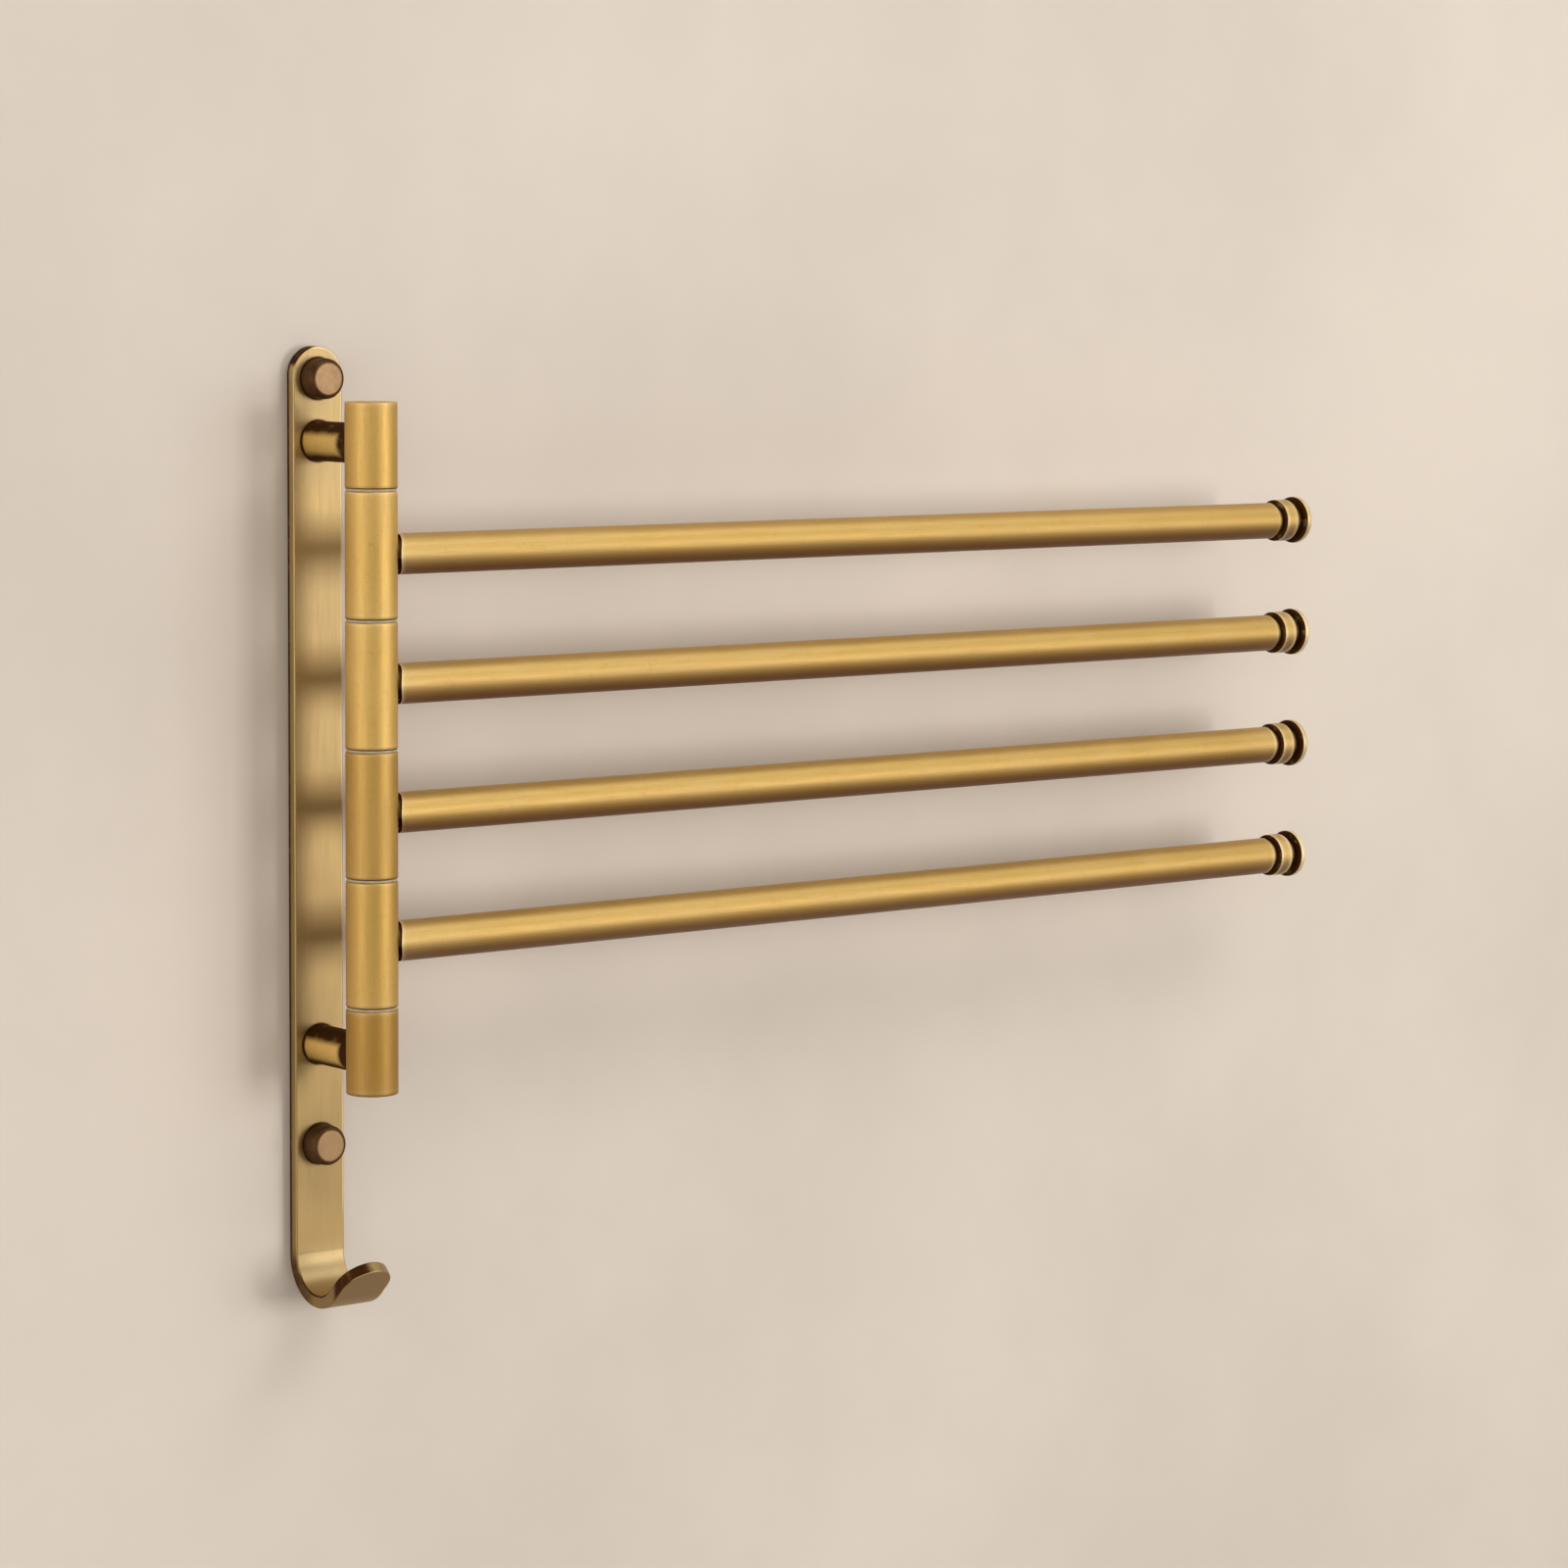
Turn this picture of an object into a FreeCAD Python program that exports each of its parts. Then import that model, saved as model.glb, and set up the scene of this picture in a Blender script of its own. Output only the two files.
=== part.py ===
"""Wall-mounted swing arm towel bar: four brass arms swivel on one upright post.

World frame: +Z up, the wall is the plane Y = 0, the room is on the -Y side, and the
arms rest pointing along +X. The post axis is upright, centred on X = 0.
Each piece is drawn in its own frame and put in place by its Placement.
"""
import FreeCAD, Part
import math
import os
import Sketcher
from FreeCAD import Placement, Rotation, Vector

ARM_COUNT = 4
WASHER_COUNT = ARM_COUNT + 1
ENDS = ("upper", "lower")

# Driving dimensions in millimetres, one spreadsheet row each.
DIMENSIONS = {
    # backplate: one flat bar whose lower end is bent forward into a hook
    "plate_width": 18.0,
    "plate_thickness": 4.0,
    "plate_top": 123.2,
    "plate_edge_round": 0.6,
    "hook_bottom": 176.6,
    "hook_outer_radius": 15.0,
    "hook_sweep": 45.0,
    "hook_lip": 13.3,
    # post and the arms' pitch along it
    "sleeve_pitch": 40.0,
    "post_diameter": 16.2,
    "post_offset": 33.2,
    "post_edge_chamfer": 0.4,
    "washer_thickness": 0.8,
    "washer_diameter": 15.6,
    "axial_play": 0.05,
    "boss_length": 26.4,
    "boss_bore_depth": 18.0,
    "spindle_diameter": 8.0,
    "spindle_fit": 0.02,
    "running_clearance": 0.05,
    # standoffs between the backplate and the post
    "standoff_diameter": 12.4,
    "standoff_upper_height": 93.9,
    "standoff_lower_depth": 95.1,
    "spigot_diameter": 6.0,
    "spigot_clearance": 0.05,
    "spigot_stop": 0.4,
    "joint_line": 0.02,
    # countersunk machine screws from the back of the plate into the standoffs
    "standoff_screw_diameter": 4.0,
    "standoff_screw_length": 14.0,
    "standoff_screw_head": 7.6,
    "countersink_clearance": 0.2,
    # wall screws, their cover caps and the seats that hold the caps
    "cap_upper_height": 113.2,
    "cap_lower_depth": 126.8,
    "cap_diameter": 12.6,
    "cap_height": 6.0,
    "cap_wall": 1.1,
    "cap_edge_round": 1.6,
    "seat_height": 3.2,
    "seat_floor": 0.8,
    "seat_wall": 0.7,
    "seat_clearance": 0.05,
    "wall_hole_diameter": 5.2,
    "wall_screw_shank": 4.5,
    "wall_screw_thread": 4.0,
    "wall_screw_reach": 34.0,
    "wall_screw_point": 6.0,
    "wall_screw_head": 8.0,
    "wall_screw_head_height": 2.6,
    # arms: neck, tube coped to the post, and turned end cap
    "bar_diameter": 12.7,
    "bar_wall": 1.0,
    "bar_gap": 1.1,
    "neck_diameter": 9.4,
    "plug_start": 9.8,
    "plug_length": 14.0,
    "plug_clearance": 0.03,
    "bar_end": 383.8,
    "first_groove_diameter": 11.0,
    "first_groove_length": 2.2,
    "bead_diameter": 14.6,
    "bead_length": 6.4,
    "bead_round": 1.5,
    "second_groove_diameter": 11.0,
    "second_groove_length": 2.6,
    "rim_diameter": 16.4,
    "rim_length": 2.8,
    "rim_round": 0.9,
    "crown_diameter": 13.6,
    "crown_rise": 0.8,
    "cap_spigot_length": 10.0,
}

# Directions in which a piece's own Z axis is laid.
UPRIGHT = Rotation()
OUT_FROM_WALL = Rotation(Vector(1, 0, 0), 90)    # own Z to -Y, own Y to +Z
ALONG_ARM = Rotation(Vector(1, 1, 1), 120)       # own Z to +X, own Y to +Z
PLATE_TURN = Rotation(Vector(0, 0, 1), -90)      # own X to -Y, own Y to +X

doc = FreeCAD.newDocument("swing_arm_towel_bar")


def make_sheet():
    """Write every driving dimension into an aliased spreadsheet cell."""
    sheet = doc.addObject("Spreadsheet::Sheet", "Sizes")
    for row, (alias, number) in enumerate(DIMENSIONS.items(), start=1):
        sheet.set(f"A{row}", alias)
        sheet.set(f"B{row}", str(number))
        sheet.setAlias(f"B{row}", alias)
    doc.recompute()
    return sheet


sizes = make_sheet()


def amount(expression):
    """The present value of an expression of spreadsheet cells, as a plain number."""
    result = sizes.evalExpression(expression)
    return float(getattr(result, "Value", result))


def origin_plane(body, role):
    """The body's own origin plane with the given role, such as XZ_Plane."""
    for feature in body.Origin.OriginFeatures:
        if feature.Role == role:
            return feature
    raise ValueError(role)


def new_sketch(body, name, role):
    """An empty sketch on one of the body's origin planes."""
    sketch = body.newObject("Sketcher::SketchObject", name)
    sketch.AttachmentSupport = (origin_plane(body, role), [""])
    sketch.MapMode = "FlatFace"
    return sketch


def hold(sketch, kind, geometry, point, expression):
    """Bind one coordinate of a sketch point to an expression; zero means on the axis."""
    if abs(amount(expression)) < 1e-9:
        axis = -2 if kind == "DistanceX" else -1
        sketch.addConstraint(Sketcher.Constraint("PointOnObject", geometry, point, axis))
        return
    constraint = Sketcher.Constraint(kind, -1, 1, geometry, point, amount(expression))
    index = sketch.addConstraint(constraint)
    sketch.setExpression(f"Constraints[{index}]", expression)


def draw_outline(sketch, corners):
    """A closed outline of straight lines through corners given as two expressions each."""
    points = [Vector(amount(across), amount(along), 0) for across, along in corners]
    count = len(points)
    for index, point in enumerate(points):
        sketch.addGeometry(Part.LineSegment(point, points[(index + 1) % count]), False)
    for index in range(count):
        sketch.addConstraint(Sketcher.Constraint("Coincident", index, 2, (index + 1) % count, 1))
    for index, (across, along) in enumerate(corners):
        hold(sketch, "DistanceX", index, 1, across)
        hold(sketch, "DistanceY", index, 1, along)


def draw_circle(sketch, across, along, diameter):
    """A circle whose centre and diameter are bound to expressions."""
    centre = Vector(amount(across), amount(along), 0)
    circle = Part.Circle(centre, Vector(0, 0, 1), amount(diameter) / 2)
    geometry = sketch.addGeometry(circle, False)
    index = sketch.addConstraint(Sketcher.Constraint("Diameter", geometry, amount(diameter)))
    sketch.setExpression(f"Constraints[{index}]", diameter)
    hold(sketch, "DistanceX", geometry, 3, across)
    hold(sketch, "DistanceY", geometry, 3, along)


def add_turned(body, name, corners):
    """Turn a profile of (radius, height) corners about the body's own Z axis."""
    sketch = new_sketch(body, f"{name}_profile", "XZ_Plane")
    draw_outline(sketch, corners)
    turned = body.newObject("PartDesign::Revolution", f"{name}_turned")
    turned.Profile = sketch
    turned.ReferenceAxis = (sketch, ["V_Axis"])
    turned.Angle = 360
    body.Tip = turned
    return turned


def add_bore(body, name, role, along, diameter, towards_positive):
    """A round hole from the body's axis out through one side."""
    sketch = new_sketch(body, f"{name}_circle", role)
    draw_circle(sketch, "0", along, diameter)
    pocket = body.newObject("PartDesign::Pocket", f"{name}_pocket")
    pocket.Profile = sketch
    pocket.Type = "ThroughAll"
    # a pocket cuts away from its plane's face: XZ_Plane faces -Y and YZ_Plane faces +X
    plane_faces_positive = role == "YZ_Plane"
    pocket.Reversed = plane_faces_positive == towards_positive
    body.Tip = pocket
    return pocket


def add_saddle(body, name, along, gap):
    """Cope the end of a piece to the round of the post, leaving a gap."""
    sketch = new_sketch(body, f"{name}_circle", "XZ_Plane")
    draw_circle(sketch, "0", along, f"Sizes.post_diameter + 2 * {gap}")
    pocket = body.newObject("PartDesign::Pocket", f"{name}_pocket")
    pocket.Profile = sketch
    pocket.Type = "ThroughAll"
    pocket.Midplane = True
    body.Tip = pocket
    return pocket


def round_edges(body, name, base, edge_names, radius):
    """Fillet the named edges of the base feature."""
    fillet = body.newObject("PartDesign::Fillet", f"{name}_fillet")
    fillet.Base = (base, edge_names)
    fillet.setExpression("Radius", radius)
    body.Tip = fillet
    return fillet


def edges_where(feature, wanted):
    """Names of the feature's edges for which wanted(edge) is true."""
    doc.recompute()
    names = []
    for index, edge in enumerate(feature.Shape.Edges, start=1):
        if wanted(edge):
            names.append(f"Edge{index}")
    return names


def circles_at(feature, radius, height):
    """Names of the full-circle edges about Z with this radius at this height."""
    def wanted(edge):
        curve = edge.Curve
        if not isinstance(curve, Part.Circle):
            return False
        same_radius = abs(curve.Radius - radius) < 1e-4
        return same_radius and abs(curve.Center.z - height) < 1e-4
    return edges_where(feature, wanted)


def new_body(label):
    """A body whose label names its piece."""
    body = doc.addObject("PartDesign::Body", label)
    body.Label = label
    return body


def place(body, turn, axis=None, expression=None):
    """Lay the body in the world; one base coordinate may follow an expression."""
    body.Placement = Placement(Vector(0, 0, 0), turn)
    if axis:
        body.setExpression(f"Placement.Base.{axis}", expression)


def stand_on_post(body, turn, height):
    """Put the body's origin on the post axis at a height."""
    place(body, turn, "y", "-Sizes.post_offset")
    body.setExpression("Placement.Base.z", height)


# Heights along the post, counted from its middle ------------------------------------

SLEEVE_LENGTH = "(Sizes.sleeve_pitch - Sizes.washer_thickness - 2 * Sizes.axial_play)"
CAP_HEIGHTS = {"upper": "Sizes.cap_upper_height", "lower": "-Sizes.cap_lower_depth"}
STANDOFF_HEIGHTS = {
    "upper": "Sizes.standoff_upper_height",
    "lower": "-Sizes.standoff_lower_depth",
}


def arm_height(number):
    """Height of an arm's centre line; arm 1 is the top one."""
    steps = (ARM_COUNT + 1) / 2 - number
    return f"{steps} * Sizes.sleeve_pitch"


def washer_height(number):
    """Height of a washer's middle; washer 1 is the top one."""
    steps = (WASHER_COUNT + 1) / 2 - number
    return f"{steps} * Sizes.sleeve_pitch"


# Backplate ---------------------------------------------------------------------------

def draw_plate_side(sketch):
    """Side view of the plate: depth from the wall across, height above the hook up.

    The hook is a bend through a right angle and more, then a short straight lip.
    """
    bend = amount("Sizes.hook_outer_radius")
    inner_bend = bend - amount("Sizes.plate_thickness")
    thick = amount("Sizes.plate_thickness")
    top = amount("Sizes.hook_bottom + Sizes.plate_top")
    sweep = math.radians(amount("Sizes.hook_sweep"))
    centre = Vector(bend, bend, 0)
    normal = Vector(0, 0, 1)
    tip = Vector(math.sin(sweep), -math.cos(sweep), 0)
    start_angle = math.pi
    end_angle = 1.5 * math.pi + sweep
    lip = Vector(math.cos(sweep), math.sin(sweep), 0) * amount("Sizes.hook_lip")
    bend_end = centre + tip * bend
    inner_bend_end = centre + tip * inner_bend
    outer_circle = Part.Circle(centre, normal, bend)
    inner_circle = Part.Circle(centre, normal, inner_bend)
    outline = [
        Part.LineSegment(Vector(0, top, 0), Vector(0, bend, 0)),
        Part.ArcOfCircle(outer_circle, start_angle, end_angle),
        Part.LineSegment(bend_end, bend_end + lip),
        Part.LineSegment(bend_end + lip, inner_bend_end + lip),
        Part.LineSegment(inner_bend_end + lip, inner_bend_end),
        Part.ArcOfCircle(inner_circle, start_angle, end_angle),
        Part.LineSegment(Vector(thick, bend, 0), Vector(thick, top, 0)),
        Part.LineSegment(Vector(thick, top, 0), Vector(0, top, 0)),
    ]
    back, outer, outer_lip, hook_tip, inner_lip, inner, front, plate_top = range(len(outline))
    for curve in outline:
        sketch.addGeometry(curve, False)
    joins = [
        (back, 2, outer, 1), (outer, 2, outer_lip, 1), (outer_lip, 2, hook_tip, 1),
        (hook_tip, 2, inner_lip, 1), (inner_lip, 2, inner, 2), (inner, 1, front, 1),
        (front, 2, plate_top, 1), (plate_top, 2, back, 1), (outer, 3, inner, 3),
    ]
    for join in joins:
        sketch.addConstraint(Sketcher.Constraint("Coincident", *join))
    sketch.addConstraint(Sketcher.Constraint("Vertical", back))
    sketch.addConstraint(Sketcher.Constraint("Vertical", front))
    sketch.addConstraint(Sketcher.Constraint("Horizontal", plate_top))
    radius = "Sizes.hook_outer_radius"
    inner_radius = f"({radius} - Sizes.plate_thickness)"
    hold(sketch, "DistanceX", outer, 3, radius)
    hold(sketch, "DistanceY", outer, 3, radius)
    hold(sketch, "DistanceX", outer, 1, "0")
    hold(sketch, "DistanceY", outer, 1, radius)
    hold(sketch, "DistanceX", inner, 1, "Sizes.plate_thickness")
    hold(sketch, "DistanceY", inner, 1, radius)
    lip_out = "Sizes.hook_lip * cos(Sizes.hook_sweep)"
    lip_up = "Sizes.hook_lip * sin(Sizes.hook_sweep)"
    faces = [(outer, outer_lip, 2, radius), (inner, inner_lip, 1, inner_radius)]
    for arc, lip_face, lip_end, arc_radius in faces:
        across = f"{radius} + {arc_radius} * sin(Sizes.hook_sweep)"
        along = f"{radius} - {arc_radius} * cos(Sizes.hook_sweep)"
        hold(sketch, "DistanceX", arc, 2, across)
        hold(sketch, "DistanceX", lip_face, lip_end, f"{across} + {lip_out}")
        hold(sketch, "DistanceY", lip_face, lip_end, f"{along} + {lip_up}")
    hold(sketch, "DistanceY", back, 1, "Sizes.hook_bottom + Sizes.plate_top")


def crosses_thickness(edge):
    """Whether an edge is as long as the plate is thick."""
    return abs(edge.Length - amount("Sizes.plate_thickness")) < 1e-4


def plate_end_corners(feature):
    """The short edges across the plate's thickness at its top and at the hook's tip."""
    return edges_where(feature, crosses_thickness)


def plate_long_edges(feature):
    """Every edge around the front and back faces."""
    return edges_where(feature, lambda edge: not crosses_thickness(edge))


def drill_plate(body, name, heights, diameter):
    """Through holes on the plate's centre line, at heights above the hook."""
    sketch = new_sketch(body, f"{name}_circles", "YZ_Plane")
    for height in heights:
        draw_circle(sketch, "0", height, diameter)
    pocket = body.newObject("PartDesign::Pocket", f"{name}_pocket")
    pocket.Profile = sketch
    pocket.setExpression("Length", "Sizes.plate_thickness")
    pocket.Reversed = True
    body.Tip = pocket
    return pocket


def make_backplate():
    body = new_body("backplate")
    sketch = new_sketch(body, "plate_side", "XZ_Plane")
    draw_plate_side(sketch)
    bar = body.newObject("PartDesign::Pad", "plate_bar")
    bar.Profile = sketch
    bar.Midplane = True
    bar.setExpression("Length", "Sizes.plate_width")
    body.Tip = bar

    half_width = "Sizes.plate_width / 2 - 0.02"
    rounded = round_edges(body, "plate_ends", bar, plate_end_corners(bar), half_width)
    long_edges = plate_long_edges(rounded)
    eased = round_edges(body, "plate_edges", rounded, long_edges, "Sizes.plate_edge_round")

    wall_holes = [f"Sizes.hook_bottom + ({CAP_HEIGHTS[end]})" for end in ENDS]
    drill_plate(body, "wall_holes", wall_holes, "Sizes.wall_hole_diameter")
    screw_holes = [f"Sizes.hook_bottom + ({STANDOFF_HEIGHTS[end]})" for end in ENDS]
    clearance = "Sizes.standoff_screw_diameter + 2 * Sizes.countersink_clearance"
    drilled = drill_plate(body, "standoff_holes", screw_holes, clearance)

    # countersinks at the back, where the plate lies on the wall
    hole_radius = amount(clearance) / 2

    def back_rim(edge):
        curve = edge.Curve
        round_rim = isinstance(curve, Part.Circle) and abs(curve.Radius - hole_radius) < 1e-4
        return round_rim and abs(curve.Center.x) < 1e-4
    countersink = body.newObject("PartDesign::Chamfer", "countersinks")
    countersink.Base = (drilled, edges_where(drilled, back_rim))
    countersink.setExpression(
        "Size", "(Sizes.standoff_screw_head - Sizes.standoff_screw_diameter) / 2")
    body.Tip = countersink
    place(body, PLATE_TURN, "z", "-Sizes.hook_bottom")
    return body


# Wall fixings --------------------------------------------------------------------------

def make_wall_screw(end):
    """Pan-head screw: its own Z runs out of the wall from the wall plane."""
    body = new_body(f"wall_screw_{end}")
    head_start = "Sizes.plate_thickness + Sizes.seat_floor + Sizes.wall_screw_reach"
    head_top = f"{head_start} + Sizes.wall_screw_head_height"
    add_turned(body, f"wall_screw_{end}", [
        ("0", "0"),
        ("Sizes.wall_screw_thread / 2", "Sizes.wall_screw_point"),
        ("Sizes.wall_screw_thread / 2", "Sizes.wall_screw_reach"),
        ("Sizes.wall_screw_shank / 2", "Sizes.wall_screw_reach"),
        ("Sizes.wall_screw_shank / 2", head_start),
        ("Sizes.wall_screw_head / 2", head_start),
        ("Sizes.wall_screw_head / 2", f"{head_top} - Sizes.wall_screw_head_height / 2"),
        ("Sizes.wall_screw_head / 3", head_top),
        ("0", head_top),
    ])
    place(body, OUT_FROM_WALL, "y", "Sizes.wall_screw_reach")
    body.setExpression("Placement.Base.z", CAP_HEIGHTS[end])
    return body


def make_cap_seat(end):
    """Thin cup under the screw head whose wall the cover cap snaps over."""
    body = new_body(f"cap_seat_{end}")
    outside = "Sizes.cap_diameter / 2 - Sizes.cap_wall - Sizes.seat_clearance"
    add_turned(body, f"cap_seat_{end}", [
        ("Sizes.wall_hole_diameter / 2", "Sizes.plate_thickness"),
        (outside, "Sizes.plate_thickness"),
        (outside, "Sizes.plate_thickness + Sizes.seat_height"),
        (f"{outside} - Sizes.seat_wall", "Sizes.plate_thickness + Sizes.seat_height"),
        (f"{outside} - Sizes.seat_wall", "Sizes.plate_thickness + Sizes.seat_floor"),
        ("Sizes.wall_hole_diameter / 2", "Sizes.plate_thickness + Sizes.seat_floor"),
    ])
    place(body, OUT_FROM_WALL, "z", CAP_HEIGHTS[end])
    return body


def make_screw_cap(end):
    """Hollow cover cap with a rounded front edge."""
    body = new_body(f"screw_cap_{end}")
    top = "Sizes.plate_thickness + Sizes.cap_height"
    inside = "Sizes.cap_diameter / 2 - Sizes.cap_wall"
    turned = add_turned(body, f"screw_cap_{end}", [
        (inside, "Sizes.plate_thickness"),
        ("Sizes.cap_diameter / 2", "Sizes.plate_thickness"),
        ("Sizes.cap_diameter / 2", top),
        ("0", top),
        ("0", f"{top} - Sizes.cap_wall"),
        (inside, f"{top} - Sizes.cap_wall"),
    ])
    doc.recompute()
    front_edge = circles_at(turned, amount("Sizes.cap_diameter / 2"), amount(top))
    round_edges(body, f"screw_cap_{end}", turned, front_edge, "Sizes.cap_edge_round")
    place(body, OUT_FROM_WALL, "z", CAP_HEIGHTS[end])
    return body


# Post: standoffs, bosses, spindle, washers ---------------------------------------------

def make_standoff(end):
    """Round spacer from the plate to a boss, with a spigot into the boss wall."""
    body = new_body(f"standoff_{end}")
    saddle_overlap = "Sizes.post_offset - Sizes.post_diameter / 4"
    tap_depth = "Sizes.standoff_screw_length + Sizes.spigot_stop"
    add_turned(body, f"standoff_{end}", [
        ("Sizes.standoff_screw_diameter / 2", "Sizes.plate_thickness"),
        ("Sizes.standoff_diameter / 2", "Sizes.plate_thickness"),
        ("Sizes.standoff_diameter / 2", saddle_overlap),
        ("0", saddle_overlap),
        ("0", tap_depth),
        ("Sizes.standoff_screw_diameter / 2", tap_depth),
    ])
    add_saddle(body, f"standoff_{end}_saddle", "Sizes.post_offset", "Sizes.joint_line")
    spigot_end = "Sizes.post_offset - Sizes.spindle_diameter / 2 - Sizes.spigot_stop"
    add_turned(body, f"standoff_{end}_spigot", [
        ("0", "Sizes.post_offset - Sizes.post_diameter / 2 - 1"),
        ("Sizes.spigot_diameter / 2", "Sizes.post_offset - Sizes.post_diameter / 2 - 1"),
        ("Sizes.spigot_diameter / 2", spigot_end),
        ("0", spigot_end),
    ])
    place(body, OUT_FROM_WALL, "z", STANDOFF_HEIGHTS[end])
    return body


def make_standoff_screw(end):
    """Countersunk machine screw that pulls a standoff against the plate."""
    body = new_body(f"standoff_screw_{end}")
    radius = "(Sizes.standoff_screw_diameter / 2 - Sizes.joint_line)"
    head = "(Sizes.standoff_screw_head / 2 - Sizes.joint_line)"
    recess = "Sizes.countersink_clearance"
    add_turned(body, f"standoff_screw_{end}", [
        ("0", recess),
        (head, recess),
        (radius, f"{recess} + {head} - {radius}"),
        (radius, "Sizes.standoff_screw_length"),
        ("0", "Sizes.standoff_screw_length"),
    ])
    place(body, OUT_FROM_WALL, "z", STANDOFF_HEIGHTS[end])
    return body


def make_boss(end):
    """Fixed end segment of the post, bored blind for the spindle."""
    body = new_body(f"boss_{end}")
    outside = "Sizes.post_diameter / 2"
    inside = "Sizes.spindle_diameter / 2 + Sizes.spindle_fit"
    ease = "Sizes.post_edge_chamfer"
    add_turned(body, f"boss_{end}", [
        (inside, "0"),
        (f"{outside} - {ease}", "0"),
        (outside, ease),
        (outside, f"Sizes.boss_length - {ease}"),
        (f"{outside} - {ease}", "Sizes.boss_length"),
        ("0", "Sizes.boss_length"),
        ("0", "Sizes.boss_bore_depth"),
        (inside, "Sizes.boss_bore_depth"),
    ])
    start = f"({ARM_COUNT} / 2 * Sizes.sleeve_pitch + Sizes.washer_thickness / 2)"
    hole = "Sizes.spigot_diameter + 2 * Sizes.spigot_clearance"
    if end == "upper":
        hole_height = f"Sizes.standoff_upper_height - {start}"
        add_bore(body, f"boss_{end}_hole", "XZ_Plane", hole_height, hole, True)
        stand_on_post(body, UPRIGHT, start)
    else:
        # turned over about X, so that the hole must leave on the piece's own -Y side
        hole_height = f"Sizes.standoff_lower_depth - {start}"
        add_bore(body, f"boss_{end}_hole", "XZ_Plane", hole_height, hole, False)
        stand_on_post(body, Rotation(Vector(1, 0, 0), 180), f"-{start}")
    return body


def make_spindle():
    """Steel rod through all the sleeves, seated in both bosses."""
    body = new_body("spindle")
    length = f"{ARM_COUNT} * Sizes.sleeve_pitch + 2 * Sizes.boss_bore_depth - 1"
    radius = "Sizes.spindle_diameter / 2"
    ease = "Sizes.post_edge_chamfer"
    add_turned(body, "spindle", [
        ("0", "0"),
        (f"{radius} - {ease}", "0"),
        (radius, ease),
        (radius, f"{length} - {ease}"),
        (f"{radius} - {ease}", length),
        ("0", length),
    ])
    stand_on_post(body, UPRIGHT, f"-({length}) / 2")
    return body


def make_washer(number):
    """Plain bearing washer between two post segments."""
    name = f"washer_{number}"
    body = new_body(name)
    inside = "Sizes.spindle_diameter / 2 + Sizes.spindle_fit"
    add_turned(body, name, [
        (inside, "0"),
        ("Sizes.washer_diameter / 2", "0"),
        ("Sizes.washer_diameter / 2", "Sizes.washer_thickness"),
        (inside, "Sizes.washer_thickness"),
    ])
    height = f"{washer_height(number)} - Sizes.washer_thickness / 2"
    stand_on_post(body, UPRIGHT, height)
    return body


# Arms ------------------------------------------------------------------------------------

def make_sleeve(number):
    """Post segment that turns on the spindle and carries one bar."""
    name = f"sleeve_{number}"
    body = new_body(name)
    outside = "Sizes.post_diameter / 2"
    inside = "Sizes.spindle_diameter / 2 + Sizes.running_clearance"
    ease = "Sizes.post_edge_chamfer"
    add_turned(body, name, [
        (inside, "0"),
        (f"{outside} - {ease}", "0"),
        (outside, ease),
        (outside, f"{SLEEVE_LENGTH} - {ease}"),
        (f"{outside} - {ease}", SLEEVE_LENGTH),
        (inside, SLEEVE_LENGTH),
    ])
    hole = "Sizes.spigot_diameter + 2 * Sizes.spigot_clearance"
    add_bore(body, f"{name}_hole", "YZ_Plane", f"{SLEEVE_LENGTH} / 2", hole, True)
    stand_on_post(body, UPRIGHT, f"{arm_height(number)} - {SLEEVE_LENGTH} / 2")
    return body


def make_bar_stud(number):
    """Turned root of a bar: spigot in the sleeve, slim neck, plug in the tube."""
    name = f"bar_stud_{number}"
    body = new_body(name)
    plug = "Sizes.bar_diameter / 2 - Sizes.bar_wall - Sizes.plug_clearance"
    add_turned(body, name, [
        ("0", "Sizes.post_diameter / 4"),
        ("Sizes.neck_diameter / 2", "Sizes.post_diameter / 4"),
        ("Sizes.neck_diameter / 2", "Sizes.plug_start"),
        (plug, "Sizes.plug_start"),
        (plug, "Sizes.plug_start + Sizes.plug_length"),
        ("0", "Sizes.plug_start + Sizes.plug_length"),
    ])
    add_saddle(body, f"{name}_saddle", "0", "Sizes.joint_line")
    spigot_start = "Sizes.spindle_diameter / 2 + Sizes.running_clearance + Sizes.spigot_stop"
    add_turned(body, f"{name}_spigot", [
        ("0", spigot_start),
        ("Sizes.spigot_diameter / 2", spigot_start),
        ("Sizes.spigot_diameter / 2", "Sizes.plug_start"),
        ("0", "Sizes.plug_start"),
    ])
    stand_on_post(body, ALONG_ARM, arm_height(number))
    return body


def make_bar_tube(number):
    """Straight round tube whose root end follows the round of the post."""
    name = f"bar_tube_{number}"
    body = new_body(name)
    outside = "Sizes.bar_diameter / 2"
    inside = f"{outside} - Sizes.bar_wall"
    add_turned(body, name, [
        (inside, "Sizes.post_diameter / 4"),
        (outside, "Sizes.post_diameter / 4"),
        (outside, "Sizes.bar_end"),
        (inside, "Sizes.bar_end"),
    ])
    add_saddle(body, f"{name}_saddle", "0", "Sizes.bar_gap")
    stand_on_post(body, ALONG_ARM, arm_height(number))
    return body


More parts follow.
